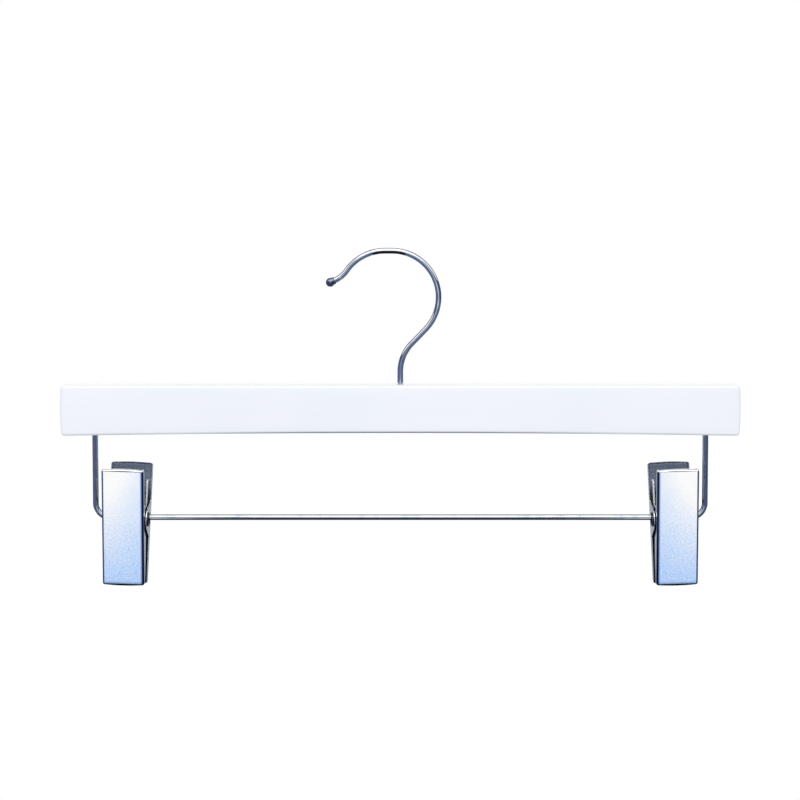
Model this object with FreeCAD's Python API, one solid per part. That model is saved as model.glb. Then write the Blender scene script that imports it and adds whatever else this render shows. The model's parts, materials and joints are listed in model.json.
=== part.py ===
import FreeCAD, Part
import math
import os

V = FreeCAD.Vector

# Skirt hanger: a lacquered wooden bar on a swivelling wire hook, a bent wire frame below
# the bar, and two sprung steel clips that slide on the rod of the frame.
# Millimetres, +Z up, +X along the bar, the front looks towards -Y.
# The origin is the point of the hook's inner wall, on the swivel axis, that sits on a rail.

# Round wire of the hook and of the frame
wire_d = 3.0

# Wooden bar
bar_len = 355.0
bar_h = 26.6
bar_thick = 12.0
bar_arch = 1.5
bar_end_bulge = 0.5
bar_corner_round = 1.8
bar_edge_round = 1.7

# Hook: crown of two equal bends with a short flat between them, angles in degrees
hook_bend_r = 24.2
hook_flat = 4.0
hook_flat_offset = 4.2
hook_back_sweep = 134.1
hook_foot_r = 21.0
hook_mouth_sweep = 55.1
hook_tip_r = 14.7
hook_tip_turn = 31.0
hook_tip_straight = 2.7
hook_shank_len = 6.8

# Ball pressed on the hook's tip, with a short collar on the wire side
ball_d = 4.7
ball_collar_d = 3.9
ball_collar_len = 2.6

# Riveted foot of the hook and its washer, in a counterbore under the bar
counterbore_d = 9.0
counterbore_depth = 5.0
washer_d = 8.4
washer_thick = 0.8
foot_head_d = 5.4
foot_head_h = 1.2
foot_head_round = 0.6

# Wire frame
leg_end_inset = 17.3
leg_insert = 16.0
rod_drop = 43.6
frame_bend_r = 7.6

# Clip: two pressed trays that turn on a hollow eyelet, which is loose on the rod
clip_lean = 9.4
clip_roll = 1.7
plate_offset = 9.2
front_handle_len = 29.9
back_handle_len = 30.25
jaw_len = 34.1
jaw_end_crown = 0.5
sheet = 0.6
jaw_w = 21.9
back_jaw_extra = 0.2
bend_round = 1.1
tray_corner_round = 1.2
ear_r = 6.2
knee_z = 10.0
handle_flange = 2.7
front_low_flange = 6.0
front_end_flange = 4.7
back_low_flange = 4.2
back_end_flange = 2.0
low_flange_z = 9.5
lip_depth = 1.9

# Eyelet that carries the two jaws
eyelet_play = 1.25
eyelet_wall = 0.4
eyelet_flare_bend = 0.12
eyelet_rim = 0.6

# Torsion spring wound round the eyelet, with one leg up each handle
spring_wire_d = 1.0
spring_coil_r = 4.0
spring_turns = 8
spring_ease = 0.5
spring_leg = 20.5
spring_end_bend = 1.6

# Rubber grips in the closed ends of the jaws
grip_h = 9.9
grip_tooth = 0.55
grip_teeth = 5
grip_side_gap = 0.2
grip_end_gap = 0.3
grip_top_inset = 0.3

# Clearances
run_fit = 0.05
glue_fit = 0.02
seat_gap = 0.08
ride_gap = 0.1
ear_gap = 0.06
grip_gap = 0.3
spring_side_gap = 0.17
spring_tip_gap = 0.4

# Values that follow from the sizes above
wire_r = wire_d / 2
leg_half_span = bar_len / 2 - leg_end_inset
lean = math.radians(clip_lean)
roll = math.radians(clip_roll)
back_jaw_w = jaw_w + back_jaw_extra
clip_half = (back_jaw_w + sheet + ear_gap) / 2
front_shift = clip_half - jaw_w / 2
back_shift = back_jaw_w / 2 - clip_half
eyelet_bore_r = wire_r + eyelet_play
eyelet_r = eyelet_bore_r + eyelet_wall
overrun = wire_d


def line(start, end):
    return Part.LineSegment(start, end).toShape()


def arc(start, middle, end):
    return Part.Arc(start, middle, end).toShape()


def polar(centre, radius, angle):
    """Point in the XZ plane, with the angle in radians from +Z towards +X."""
    return centre + V(math.sin(angle), 0, math.cos(angle)) * radius


def round_tube(edges, radius):
    """One unbroken round wire along a path of tangent edges."""
    path = Part.Wire(edges)
    start = edges[0].valueAt(edges[0].FirstParameter)
    heading = edges[0].tangentAt(edges[0].FirstParameter)
    section = Part.Wire(Part.makeCircle(radius, start, heading))
    return path.makePipeShell([section], True, False)


def prism(edges, depth):
    """Solid between a closed outline and its copy moved by a vector."""
    return Part.Face(Part.Wire(edges)).extrude(depth)


def polygon_edges(points):
    return [line(points[i - 1], points[i]) for i in range(len(points))]


# Hook centreline, from the shank round the back and over the crown to the tip
crown_z = -math.sqrt((hook_bend_r - wire_r) ** 2 - hook_flat_offset ** 2)
back_centre = V(-hook_flat_offset, 0, crown_z)
mouth_centre = V(-hook_flat_offset - hook_flat, 0, crown_z)
back_end_angle = math.radians(hook_back_sweep)
back_end = polar(back_centre, hook_bend_r, back_end_angle)
back_heading = V(math.cos(back_end_angle), 0, -math.sin(back_end_angle))
foot_side = V(math.sin(back_end_angle), 0, math.cos(back_end_angle))
slant_len = (hook_foot_r * (1 - foot_side.x) - back_end.x) / back_heading.x
slant_end = back_end + back_heading * slant_len
foot_centre = slant_end + foot_side * hook_foot_r
foot_end = V(0, 0, foot_centre.z)
foot_middle = foot_centre - (foot_side + V(1, 0, 0)).normalize() * hook_foot_r

bar_top = foot_end.z - hook_shank_len
bar_bottom = bar_top - bar_h
counterbore_top = bar_bottom + bar_arch + counterbore_depth
head_top = counterbore_top - washer_thick - 2 * seat_gap
rod_z = bar_bottom - rod_drop


def hook_tip():
    """Start, middle, end and heading of the reversed bend, and the ball's centre."""
    mouth_angle = math.radians(hook_mouth_sweep)
    turn = math.radians(hook_tip_turn)
    start = polar(mouth_centre, hook_bend_r, -mouth_angle)
    outward = V(-math.sin(mouth_angle), 0, math.cos(mouth_angle))
    heading = V(-math.cos(mouth_angle), 0, -math.sin(mouth_angle))
    centre = start + outward * hook_tip_r

    def on_bend(angle):
        return centre + (heading * math.sin(angle) - outward * math.cos(angle)) * hook_tip_r

    end_heading = heading * math.cos(turn) + outward * math.sin(turn)
    end = on_bend(turn)
    return start, on_bend(turn / 2), end, end_heading, end + end_heading * hook_tip_straight


tip_start, tip_middle, tip_end, tip_heading, ball_centre = hook_tip()


def make_hook():
    back_top = polar(back_centre, hook_bend_r, 0)
    mouth_top = polar(mouth_centre, hook_bend_r, 0)
    back_middle = polar(back_centre, hook_bend_r, back_end_angle / 2)
    mouth_middle = polar(mouth_centre, hook_bend_r, -math.radians(hook_mouth_sweep) / 2)
    wire = round_tube([
        line(V(0, 0, head_top), foot_end),
        arc(foot_end, foot_middle, slant_end),
        line(slant_end, back_end),
        arc(back_end, back_middle, back_top),
        line(back_top, mouth_top),
        arc(mouth_top, mouth_middle, tip_start),
        arc(tip_start, tip_middle, tip_end),
        line(tip_end, ball_centre),
    ], wire_r)
    head = Part.makeCylinder(foot_head_d / 2, foot_head_h, V(0, 0, head_top - foot_head_h))
    low_rim = [edge for edge in head.Edges if edge.BoundBox.ZMax < head_top - foot_head_h / 2]
    rims = [edge for edge in low_rim if isinstance(edge.Curve, Part.Circle)]
    return wire.fuse(head.makeFillet(foot_head_round, rims)).removeSplitter()


def make_hook_ball():
    ball = Part.makeSphere(ball_d / 2, ball_centre)
    collar = Part.makeCylinder(ball_collar_d / 2, ball_collar_len, ball_centre, -tip_heading)
    socket = Part.makeCylinder(wire_r + glue_fit, ball_d, ball_centre, -tip_heading)
    return ball.fuse(collar).cut(socket)


def make_hook_washer():
    base = V(0, 0, counterbore_top - washer_thick - seat_gap)
    disc = Part.makeCylinder(washer_d / 2, washer_thick, base)
    return disc.cut(Part.makeCylinder(wire_r + run_fit, washer_thick, base))


def make_bar():
    half = bar_len / 2
    corner = half - bar_end_bulge
    front = -bar_thick / 2
    middle_z = (bar_top + bar_bottom) / 2
    outline = [
        line(V(-corner, front, bar_top), V(corner, front, bar_top)),
        arc(V(corner, front, bar_top), V(half, front, middle_z), V(corner, front, bar_bottom)),
        arc(V(corner, front, bar_bottom), V(0, front, bar_bottom + bar_arch),
            V(-corner, front, bar_bottom)),
        arc(V(-corner, front, bar_bottom), V(-half, front, middle_z), V(-corner, front, bar_top)),
    ]
    board = prism(outline, V(0, bar_thick, 0))
    across = [edge for edge in board.Edges if edge.BoundBox.YLength > bar_thick / 2]
    board = board.makeFillet(bar_corner_round, across)
    around = [edge for edge in board.Edges if edge.BoundBox.YLength < bar_thick / 2]
    board = board.makeFillet(bar_edge_round, around)
    drill_base = V(0, 0, bar_bottom)
    board = board.cut(Part.makeCylinder(wire_r + run_fit, bar_h + overrun, drill_base))
    board = board.cut(Part.makeCylinder(counterbore_d / 2, counterbore_top - bar_bottom, drill_base))
    for side in (-1, 1):
        leg_base = V(side * leg_half_span, 0, bar_bottom - overrun)
        socket = Part.makeCylinder(wire_r + glue_fit, leg_insert + overrun, leg_base)
        board = board.cut(socket)
    return board


def make_wire_frame():
    bend_x = leg_half_span - frame_bend_r
    bend_z = rod_z + frame_bend_r
    leg_top = bar_bottom + leg_insert
    right_bend = V(bend_x, 0, bend_z)
    left_bend = V(-bend_x, 0, bend_z)
    side_angle, middle_angle, low_angle = (math.radians(turn) for turn in (90, 135, 180))
    left_start = polar(left_bend, frame_bend_r, -side_angle)
    left_middle = polar(left_bend, frame_bend_r, -middle_angle)
    left_end = polar(left_bend, frame_bend_r, -low_angle)
    right_start = polar(right_bend, frame_bend_r, low_angle)
    right_middle = polar(right_bend, frame_bend_r, middle_angle)
    right_end = polar(right_bend, frame_bend_r, side_angle)
    return round_tube([
        line(V(-leg_half_span, 0, leg_top), left_start),
        arc(left_start, left_middle, left_end),
        line(left_end, right_start),
        arc(right_start, right_middle, right_end),
        line(right_end, V(leg_half_span, 0, leg_top)),
    ], wire_r)


# The clip is made round its own pivot axis, along X, and then set on the rod.
# In a jaw's own frame the plate is upright on the +Y side, plate_offset from the pivot.

def tray(width, handle_len, inset, open_depth):
    """Rounded block of one jaw with crowned ends, drawn in by an inset on its closed sides."""
    half = width / 2 - inset
    crown_r = (width ** 2 / 4 + jaw_end_crown ** 2) / (2 * jaw_end_crown) - inset
    crown = crown_r - math.sqrt(crown_r ** 2 - half ** 2)
    open_y = plate_offset - open_depth
    top = handle_len - inset
    low = inset - jaw_len
    corners = [V(-half, open_y, low + crown), V(half, open_y, low + crown),
               V(half, open_y, top - crown), V(-half, open_y, top - crown)]
    outline = [
        arc(corners[0], V(0, open_y, low), corners[1]),
        line(corners[1], corners[2]),
        arc(corners[2], V(0, open_y, top), corners[3]),
        line(corners[3], corners[0]),
    ]
    depth = open_depth - inset
    block = prism(outline, V(0, depth, 0))
    deep = [edge for edge in block.Edges if edge.BoundBox.YLength > depth / 2]
    block = block.makeFillet(tray_corner_round - inset, deep)
    rim = [edge for edge in block.Edges if edge.BoundBox.YMin > open_y + depth / 2]
    return block.makeFillet(bend_round - inset, rim)


def ear_tangent(depth, height, turn):
    """Where the straight flange edge from a point meets the round ear."""
    away = plate_offset - depth
    reach = math.hypot(away, height)
    angle = math.atan2(height, away) + turn * math.acos(ear_r / reach)
    return V(0, ear_r * math.cos(angle), ear_r * math.sin(angle))


def make_jaw(width, handle_len, low_flange, end_flange):
    """Pressed jaw with its plate on +Y: side flanges, two ears and turned-in end lips."""
    open_depth = plate_offset + ear_r + overrun
    shell = tray(width, handle_len, 0, open_depth)
    shell = shell.cut(tray(width, handle_len, sheet, open_depth + overrun))
    upper = ear_tangent(handle_flange, knee_z, 1)
    lower = ear_tangent(low_flange, -low_flange_z, -1)
    back_y = plate_offset + overrun
    top_z = handle_len + overrun
    low_z = -jaw_len - overrun
    start_x = V(-width, 0, 0)
    points = [
        V(0, back_y, low_z),
        V(0, back_y, top_z),
        V(0, plate_offset - handle_flange, top_z),
        V(0, plate_offset - handle_flange, knee_z),
        upper,
    ]
    points_below = [
        lower,
        V(0, plate_offset - low_flange, -low_flange_z),
        V(0, plate_offset - end_flange, low_z),
        V(0, back_y, low_z),
    ]
    edges = [line(a, b) for a, b in zip(points, points[1:])]
    edges.append(arc(upper, V(0, -ear_r, 0), lower))
    edges += [line(a, b) for a, b in zip(points_below, points_below[1:])]
    profile = prism(edges, V(2 * width, 0, 0))
    profile.translate(start_x)
    jaw = shell.common(profile)
    lip_w = width - 2 * tray_corner_round
    lip_zone = tray_corner_round + jaw_end_crown
    lip_cut = V(-lip_w / 2, plate_offset - lip_depth - open_depth, 0)
    for end_z in (handle_len - lip_zone, -jaw_len - overrun):
        cutter = Part.makeBox(lip_w, open_depth, lip_zone + overrun, lip_cut + V(0, 0, end_z))
        jaw = jaw.cut(cutter)
    hole_len = width + overrun
    hole = Part.makeCylinder(eyelet_r + run_fit, hole_len, V(-hole_len / 2, 0, 0), V(1, 0, 0))
    return jaw.cut(hole)


def make_grip():
    """Toothed rubber pad for a jaw with its plate on +Y, upright on its gripping side."""
    seat_y = plate_offset - sheet
    low_z = -jaw_len + jaw_end_crown + tray_corner_round + grip_end_gap
    pitch = grip_h / grip_teeth

    def grip_y(height, sink):
        return (grip_gap / 2 + sink - height * math.sin(lean)) / math.cos(lean)

    points = [V(0, seat_y, low_z), V(0, seat_y, low_z + grip_h)]
    points.append(V(0, grip_y(low_z + grip_h, grip_tooth + grip_top_inset), low_z + grip_h))
    for tooth in reversed(range(grip_teeth)):
        crest_z = low_z + (tooth + 0.5) * pitch
        valley_z = low_z + tooth * pitch
        points.append(V(0, grip_y(crest_z, 0), crest_z))
        points.append(V(0, grip_y(valley_z, grip_tooth), valley_z))
    wall = max(bend_round, sheet + front_shift - back_shift)
    width = jaw_w - 2 * (wall + grip_side_gap)
    pad = prism(polygon_edges(points), V(width, 0, 0))
    pad.translate(V(-width / 2, 0, 0))
    return pad


def make_eyelet():
    """Hollow rivet whose flared ends keep the ears of both jaws together."""
    seat_x = clip_half + seat_gap
    bend_x = seat_x - eyelet_flare_bend
    bend_r = eyelet_r + eyelet_flare_bend
    rim_r = eyelet_r + eyelet_rim
    half_turn = math.sqrt(0.5)
    outer_bend = eyelet_flare_bend
    inner_bend = eyelet_flare_bend + eyelet_wall

    def mouth(sign):
        bore_end = V(sign * bend_x, 0, eyelet_bore_r)
        bore_rim = V(sign * (seat_x + eyelet_wall), 0, bend_r)
        rim_out = V(sign * (seat_x + eyelet_wall), 0, rim_r)
        rim_in = V(sign * seat_x, 0, rim_r)
        seat = V(sign * seat_x, 0, bend_r)
        body_end = V(sign * bend_x, 0, eyelet_r)
        middle_in = V(sign * (bend_x + inner_bend * half_turn), 0, bend_r - inner_bend * half_turn)
        middle_out = V(sign * (bend_x + outer_bend * half_turn), 0, bend_r - outer_bend * half_turn)
        edges = [
            arc(bore_end, middle_in, bore_rim),
            line(bore_rim, rim_out),
            line(rim_out, rim_in),
            line(rim_in, seat),
            arc(seat, middle_out, body_end),
        ]
        return bore_end, edges, body_end

    left_bore, left_edges, left_body = mouth(-1)
    right_bore, right_edges, right_body = mouth(1)
    outline = left_edges + [line(left_body, right_body)] + right_edges + [line(right_bore, left_bore)]
    section = Part.Face(Part.Wire(Part.__sortEdges__(outline)))
    return section.revolve(V(0, 0, 0), V(1, 0, 0), 360)


def biarc(start, start_heading, end, end_heading):
    """Two tangent arcs between two points with given headings."""
    chord = end - start
    total = start_heading + end_heading
    spread = 2 * (1 - start_heading.dot(end_heading))
    along = chord.dot(total)
    reach = (math.sqrt(along ** 2 + spread * chord.dot(chord)) - along) / spread
    joint = (start + start_heading * reach + end - end_heading * reach) * 0.5
    first = arc(start, arc_middle(start, start_heading, joint), joint)
    second = arc(joint, arc_middle(end, -end_heading, joint), end)
    return [first, second]


def arc_middle(start, heading, end):
    """Middle of the arc that leaves the start along a heading and reaches the end."""
    chord = end - start
    half = chord.Length / 2
    across = heading - chord * (heading.dot(chord) / chord.dot(chord))
    bend = math.atan2(across.Length, heading.dot(chord) / chord.Length)
    return start + chord * 0.5 + across.normalize() * (half * math.tan(bend / 2))


def spring_path():
    """Back leg at the inner end, coil and front leg, as straight runs and tangent arcs."""
    turns = spring_turns + 0.5 - clip_lean / 180
    reach = jaw_w / 2 - front_shift - sheet - spring_side_gap - spring_wire_d / 2
    pitch = 2 * reach / (turns - spring_ease)

    def leg_point(side, out, up):
        across = out * math.cos(lean) + up * math.sin(lean)
        height = up * math.cos(lean) - out * math.sin(lean)
        return V(side * reach, -side * across, height)

    def leg(side):
        bend = spring_end_bend
        tip_out = plate_offset - sheet - spring_tip_gap
        corner = 1 - math.sqrt(0.5)
        tip = leg_point(side, tip_out, spring_leg)
        turn_out = leg_point(side, spring_coil_r + bend, spring_leg)
        middle = leg_point(side, spring_coil_r + bend * corner, spring_leg - bend * corner)
        turn_down = leg_point(side, spring_coil_r, spring_leg - bend)
        root = leg_point(side, spring_coil_r, 0)
        return tip, turn_out, middle, turn_down, root

    def advance(turn):
        if turn < spring_ease:
            return turn ** 2 / (2 * spring_ease), turn / spring_ease
        if turn > turns - spring_ease:
            left = turns - turn
            return turns - spring_ease - left ** 2 / (2 * spring_ease), left / spring_ease
        return turn - spring_ease / 2, 1

    def coil_point(turn):
        angle = -lean - 2 * math.pi * turn
        step, rate = advance(turn)
        around = V(0, math.cos(angle), math.sin(angle)) * spring_coil_r
        place = around + V(pitch * step - reach, 0, 0)
        round_speed = 2 * math.pi * spring_coil_r
        heading = V(pitch * rate, round_speed * math.sin(angle), -round_speed * math.cos(angle))
        return place, heading.normalize()

    tip, turn_out, middle, turn_down, root = leg(-1)
    edges = [line(tip, turn_out), arc(turn_out, middle, turn_down), line(turn_down, root)]
    spans = 2 * spring_turns + 1
    knots = [coil_point(turns * i / spans) for i in range(spans + 1)]
    for (start, heading), (end, end_heading) in zip(knots, knots[1:]):
        edges += biarc(start, heading, end, end_heading)
    tip, turn_out, middle, turn_down, root = leg(1)
    edges += [line(root, turn_down), arc(turn_down, middle, turn_out), line(turn_out, tip)]
    return edges


def least_self_gap(edges, diameter):
    """Least clear distance between parts of a tube that aren't neighbours along it."""
    density = 4
    neighbours = 12
    points = []
    for edge in edges:
        count = max(2, int(edge.Length * density / diameter))
        points += edge.discretize(count)[:-1]
    nearest = min(points[i].distanceToPoint(points[j])
                  for i in range(len(points)) for j in range(i + neighbours, len(points)))
    return nearest - diameter


def make_spring():
    edges = spring_path()
    print("spring: least gap between turns %.2f mm" % least_self_gap(edges, spring_wire_d))
    return round_tube(edges, spring_wire_d / 2)


def mirrored_front(shape):
    return shape.mirror(V(0, 0, 0), V(0, 1, 0))


def leaned(shape, turn):
    return shape.rotated(V(0, 0, 0), V(1, 0, 0), turn)


# The clip hangs on the rod at its inner end, and its outer end rides up on the frame's bend
bore_half = clip_half + seat_gap - eyelet_flare_bend
bore_rise = bore_half * math.sin(roll)
pivot_drop = eyelet_play - bore_rise - ride_gap
ride_height = eyelet_bore_r + bore_rise - pivot_drop
bend_inner_r = frame_bend_r - wire_r
ride_x = math.sqrt(bend_inner_r ** 2 - (frame_bend_r + ride_gap - ride_height) ** 2)
clip_x = leg_half_span - frame_bend_r + ride_x - bore_half * math.cos(roll)
pivot_z = rod_z - pivot_drop


def on_rod(shape):
    """Sets a clip piece at the right end of the rod."""
    rolled = shape.rotated(V(0, 0, 0), V(0, 1, 0), -clip_roll)
    return rolled.translated(V(clip_x, 0, pivot_z))


def front_half(shape):
    """Sets a piece made for a back jaw on the front one, which lies further out on the rod."""
    return leaned(mirrored_front(shape), clip_lean).translated(V(front_shift, 0, 0))


def back_half(shape):
    return leaned(shape, -clip_lean).translated(V(back_shift, 0, 0))


def make_clip():
    grip = make_grip()
    front_jaw = make_jaw(jaw_w, front_handle_len, front_low_flange, front_end_flange)
    back_jaw = make_jaw(back_jaw_w, back_handle_len, back_low_flange, back_end_flange)
    return {
        "front_jaw": front_half(front_jaw),
        "back_jaw": back_half(back_jaw),
        "front_grip": front_half(grip),
        "back_grip": back_half(grip),
        "eyelet": make_eyelet(),
        "spring": make_spring(),
    }


pieces = {
    "hook": make_hook(),
    "hook_ball": make_hook_ball(),
    "hook_washer": make_hook_washer(),
    "bar": make_bar(),
    "wire_frame": make_wire_frame(),
}
for piece_name, piece in make_clip().items():
    right = on_rod(piece)
    pieces["right_" + piece_name] = right
    pieces["left_" + piece_name] = right.mirror(V(0, 0, 0), V(1, 0, 0))

os.makedirs("parts", exist_ok=True)
for name, shape in pieces.items():
    solids = shape.Solids
    print("%-18s solids %d  valid %s  volume %.1f" % (name, len(solids), shape.isValid(), shape.Volume))
    solid = solids[0] if len(solids) == 1 else shape
    solid.exportStep("parts/%s.step" % name)
print("bar top %.2f bottom %.2f, rod %.2f" % (bar_top, bar_bottom, rod_z))
print("clip at x %.2f, pivot z %.2f" % (clip_x, pivot_z))
print("ball centre %.2f %.2f" % (ball_centre.x, ball_centre.z))
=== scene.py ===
# %% [markdown]
# # Dressing a skirt hanger
# The construction of this hanger is finished: a wooden bar, a hook that turns in it, a wire frame below
# it and two sprung clips on the frame's rod. All of it comes in as a fixed frame, in metres, at its
# real size. This lesson gives it its looks: a studio first, then one finish for each material, then the
# pieces that need a finer mesh than the frame's own.

# %% The fixed frame
import json
import math

import bmesh
import bpy
from mathutils import Matrix, Vector


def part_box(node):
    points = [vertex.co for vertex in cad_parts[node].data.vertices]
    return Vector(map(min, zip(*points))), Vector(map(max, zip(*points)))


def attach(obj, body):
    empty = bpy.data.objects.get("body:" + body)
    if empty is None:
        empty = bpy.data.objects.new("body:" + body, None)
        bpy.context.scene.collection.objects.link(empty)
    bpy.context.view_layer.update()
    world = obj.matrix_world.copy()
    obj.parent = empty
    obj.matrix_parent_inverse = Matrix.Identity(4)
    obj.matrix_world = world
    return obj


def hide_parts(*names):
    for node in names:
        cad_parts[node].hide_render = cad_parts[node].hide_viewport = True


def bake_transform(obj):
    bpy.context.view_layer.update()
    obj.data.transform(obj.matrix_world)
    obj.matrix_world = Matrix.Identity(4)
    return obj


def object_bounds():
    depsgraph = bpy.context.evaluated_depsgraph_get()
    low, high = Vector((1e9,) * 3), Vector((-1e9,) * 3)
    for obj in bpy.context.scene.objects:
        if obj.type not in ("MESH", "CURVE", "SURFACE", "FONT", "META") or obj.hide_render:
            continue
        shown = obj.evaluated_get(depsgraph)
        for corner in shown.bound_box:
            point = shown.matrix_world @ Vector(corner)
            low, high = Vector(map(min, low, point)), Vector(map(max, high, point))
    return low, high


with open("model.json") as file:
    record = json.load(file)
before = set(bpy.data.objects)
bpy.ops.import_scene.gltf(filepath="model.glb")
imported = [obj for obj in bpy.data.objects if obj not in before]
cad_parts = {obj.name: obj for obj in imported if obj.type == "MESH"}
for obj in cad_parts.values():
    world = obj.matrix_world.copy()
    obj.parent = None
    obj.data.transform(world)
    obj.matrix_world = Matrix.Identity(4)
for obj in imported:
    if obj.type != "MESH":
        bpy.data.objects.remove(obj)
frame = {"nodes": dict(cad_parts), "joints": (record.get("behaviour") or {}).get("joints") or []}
cad_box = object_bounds()
MM = 0.001
SIDES = ("left", "right")
nodes = frame["nodes"]
joints = {joint["name"]: joint for joint in frame["joints"]}

# %% [markdown]
# ## The camera
# The hanger is looked at from straight in front and a little above: the top of the bar shows as a thin
# bright band. A camera that looks down makes uprights converge. A photographer avoids that by tilting
# the camera less and sliding the lens instead, and Blender's shift does the same. So the camera stands
# six degrees up, tilts by three, and the shift makes up the difference.

# %% The camera
aim_point = Vector((-0.16, 0, -76.3)) * MM
camera_distance = 804 * MM
camera_rise = math.radians(6)
camera_tilt = math.radians(3)
camera_lens = 68.9

lens_data = bpy.data.cameras.new("front_camera")
lens_data.lens = camera_lens
lens_data.shift_y = -camera_lens / lens_data.sensor_width * math.tan(camera_rise - camera_tilt)
camera = bpy.data.objects.new("front_camera", lens_data)
camera.location = aim_point + Vector((0, -math.cos(camera_rise), math.sin(camera_rise))) * camera_distance
camera.rotation_euler = (math.pi / 2 - camera_tilt, 0, 0)
bpy.context.scene.collection.objects.link(camera)
bpy.context.scene.camera = camera
bpy.context.scene.view_settings.view_transform = "Standard"
print("camera shift %.4f" % lens_data.shift_y)

# %% [markdown]
# ## Shader sums as plain sums
# A finish is a graph of small nodes, and sums are tedious to wire by hand. One small class stands for a
# socket, so that a sum in Python adds the Math nodes for it. The reflected forms let a number come
# first.

# %% Sockets that can be added and multiplied
class Signal:
    """One output socket. Sums with numbers or other signals add Math nodes."""

    def __init__(self, sheet, socket):
        self.sheet = sheet
        self.socket = socket

    def math(self, operation, first, second):
        return self.sheet.node("ShaderNodeMath", {"operation": operation}, {0: first, 1: second})

    def __add__(self, other):
        return self.math("ADD", self, other)

    def __radd__(self, other):
        return self.math("ADD", other, self)

    def __sub__(self, other):
        return self.math("SUBTRACT", self, other)

    def __rsub__(self, other):
        return self.math("SUBTRACT", other, self)

    def __mul__(self, other):
        return self.math("MULTIPLY", self, other)

    def __rmul__(self, other):
        return self.math("MULTIPLY", other, self)

    def ramp(self, low, high):
        """Smooth step from 0 at low to 1 at high."""
        return self.sheet.node("ShaderNodeMapRange", {"interpolation_type": "SMOOTHSTEP"},
                               {"Value": self, "From Min": low, "From Max": high})


print("a signal adds, subtracts, multiplies and ramps")

# %% [markdown]
# ## A sheet of nodes
# The second class holds a node tree. One method makes any node, with its settings first and then the
# values or links of its sockets, and a few short ones name the nodes that the finishes share. Sockets
# of one node can have the same name, so a socket is looked for by its identifier first.

# %% The node sheet
class NodeSheet:
    """A node tree with one method that makes any node."""

    def __init__(self, tree):
        self.tree = tree
        tree.nodes.clear()

    def node(self, kind, settings=None, sockets=None, out=0):
        made = self.tree.nodes.new(kind)
        for key, value in (settings or {}).items():
            setattr(made, key, value)
        for key, value in (sockets or {}).items():
            socket = pick(made.inputs, key)
            if isinstance(value, Signal):
                self.tree.links.new(value.socket, socket)
            else:
                socket.default_value = value
        return Signal(self, pick(made.outputs, out)) if made.outputs else None

    def place(self):
        return self.node("ShaderNodeTexCoord", out="Object")

    def axis(self, where, name):
        return self.node("ShaderNodeSeparateXYZ", None, {"Vector": where}, name)

    def noise(self, where, scale, detail=3.0, roughness=0.5):
        return self.node("ShaderNodeTexNoise", None,
                         {"Vector": where, "Scale": scale, "Detail": detail, "Roughness": roughness})

    def stretch(self, where, scale):
        return self.node("ShaderNodeMapping", None, {"Vector": where, "Scale": scale})

    def mix(self, share, colour_a, colour_b):
        return self.node("ShaderNodeMix", {"data_type": "RGBA"},
                         {"Factor_Float": share, "A_Color": colour_a, "B_Color": colour_b}, "Result_Color")

    def bump(self, height, strength, depth):
        return self.node("ShaderNodeBump", None,
                         {"Height": height, "Strength": strength, "Distance": depth})


def pick(sockets, key):
    """Socket with this identifier, or else with this name or number."""
    for socket in sockets:
        if socket.identifier == key:
            return socket
    return sockets[key]


print("a sheet makes", [name for name in vars(NodeSheet) if not name.startswith("_")])

# %% [markdown]
# ## Colours and finishes
# A colour picker's numbers are made for the screen, while shaders reckon in linear light, so each
# colour is converted once. A finish is a new material with an empty sheet, and the finishes of the
# hanger all end in one Principled shader.

# %% Colours and finishes
def tint(red, green, blue):
    """Linear colour from the 0 to 255 numbers of a colour picker."""
    def linear(level):
        share = level / 255
        return share / 12.92 if share < 0.04045 else ((share + 0.055) / 1.055) ** 2.4
    return (linear(red), linear(green), linear(blue), 1.0)


def new_finish(name):
    material = bpy.data.materials.new(name)
    material.use_nodes = True
    return material, NodeSheet(material.node_tree)


def surface(sheet, sockets):
    """Principled shader with these sockets, on the material's output."""
    shader = sheet.node("ShaderNodeBsdfPrincipled", None, sockets)
    sheet.node("ShaderNodeOutputMaterial", None, {"Surface": shader})


print("plain white is", tint(255, 255, 255))

# %% [markdown]
# ## The studio
# The hanger hangs free before pure white. A backdrop sheet would need lamps of its own, so the world is
# the backdrop: it gives a soft, even light, and where the camera, metal or glass looks at it, it is
# plain white paper.

# %% The world
ambient_level = 0.95

world = bpy.data.worlds.new("studio")
bpy.context.scene.world = world
world.use_nodes = True


def seen_directly(sheet):
    """1 for a camera, glossy or transmission ray, 0 for the rays that carry light."""
    rays = {name: sheet.node("ShaderNodeLightPath", out=name)
            for name in ("Is Camera Ray", "Is Glossy Ray", "Is Transmission Ray")}
    return rays["Is Camera Ray"] + rays["Is Glossy Ray"] + rays["Is Transmission Ray"]


sky = NodeSheet(world.node_tree)
paper = sky.node("ShaderNodeBackground", None, {"Color": (1, 1, 1, 1), "Strength": 1.0})
soft = sky.node("ShaderNodeBackground", None, {"Color": (0.97, 0.985, 1, 1), "Strength": ambient_level})
shown = sky.node("ShaderNodeMixShader", None, {0: seen_directly(sky), 1: soft, 2: paper})
sky.node("ShaderNodeOutputWorld", None, {"Surface": shown})
print("world light %.2f" % ambient_level)

# %% [markdown]
# ## The floor
# A pale floor lies as far below as it would under a clothes rail and throws soft light back up. Seen
# directly or in a mirror it is as white as the paper, so that no horizon shows.

# %% The floor
floor_drop = 1500 * MM
floor_half = 6.0

floor_finish, sheet = new_finish("pale_floor")
matt = sheet.node("ShaderNodeBsdfDiffuse", None, {"Color": tint(238, 240, 244)})
white = sheet.node("ShaderNodeEmission", None, {"Color": (1, 1, 1, 1), "Strength": 1.0})
mixed = sheet.node("ShaderNodeMixShader", None, {0: seen_directly(sheet), 1: matt, 2: white})
sheet.node("ShaderNodeOutputMaterial", None, {"Surface": mixed})


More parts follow.
